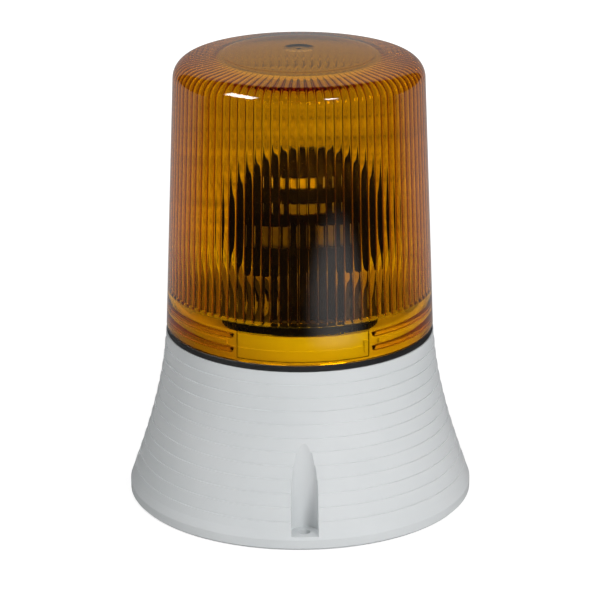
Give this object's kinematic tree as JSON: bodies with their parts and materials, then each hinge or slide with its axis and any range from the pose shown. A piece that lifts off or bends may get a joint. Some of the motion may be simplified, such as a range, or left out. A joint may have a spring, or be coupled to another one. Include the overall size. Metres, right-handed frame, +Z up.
{
  "type": "rotating warning light",
  "caption": "Amber rotating-mirror warning light: a flared grey base with screw pockets, a fluted lens that turns off, and a motor-driven reflector round a fixed lamp.",
  "frame": {"origin": "middle of the underside of the base, on the plane that it stands on", "axes": "+Z up along the axis of the lens and the turntable; -Y towards the front screw pocket"},
  "size_m": [0.164, 0.164, 0.217],
  "materials": {
    "grey_housing": "satin, fine moulded texture",
    "amber_lens": "clear amber polycarbonate, polished, fluted inside",
    "black_rubber": "matt rubber seal",
    "light_plate": "satin moulded plastic",
    "black_plastic": "smooth black moulding",
    "white_acetal": "self-lubricating acetal",
    "mirror_aluminium": "spun and brightened aluminium",
    "zinc_steel": "zinc-plated steel",
    "brass": "tinned brass contact strip",
    "bulb_glass": "clear lamp glass",
    "tungsten": "coiled tungsten wire on nickel posts",
    "red_lead": "PVC wire insulation",
    "blue_lead": "PVC wire insulation"
  },
  "bodies": {
    "base": {"base_housing": "grey_housing", "foot_gasket": "black_rubber", "cable_grommet": "black_rubber", "lens_gasket": "black_rubber", "chassis_plate": "light_plate", "chassis_screws": "zinc_steel", "bearing_bush": "white_acetal", "retaining_clip": "zinc_steel", "motor_body": "zinc_steel", "motor_screws": "zinc_steel", "lamp_holder": "black_plastic", "lamp_contacts": "brass", "bulb_cap": "brass", "bulb_glass": "bulb_glass", "bulb_filament": "tungsten", "terminal_block": "white_acetal", "terminal_screws": "brass", "lamp_leads": "red_lead", "motor_leads": "blue_lead"},
    "lens": {"lens": "amber_lens"},
    "head": {"turntable_gear": "black_plastic", "reflector_dish": "mirror_aluminium", "reflector_carrier": "black_plastic", "carrier_screws": "zinc_steel"},
    "pinion": {"drive_pinion": "white_acetal", "motor_shaft": "zinc_steel"}
  },
  "joints": [
    {"name": "head_spin", "type": "hinge", "parent": "base", "child": "head", "pos_m": [0, 0, 0.0825], "axis": [0, 0, 1], "continuous": true},
    {"name": "pinion_spin", "type": "hinge", "parent": "base", "child": "pinion", "pos_m": [-0.00729, 0.04136, 0.0835], "axis": [0, 0, 1], "continuous": true},
    {"name": "lens_turn", "type": "hinge", "parent": "base", "child": "lens", "pos_m": [0, 0, 0.083], "axis": [0, 0, 1], "range_deg": [0, 57]}
  ],
  "couplings": [
    {"joint": "pinion_spin", "follows": "head_spin", "ratio": -6}
  ]
}
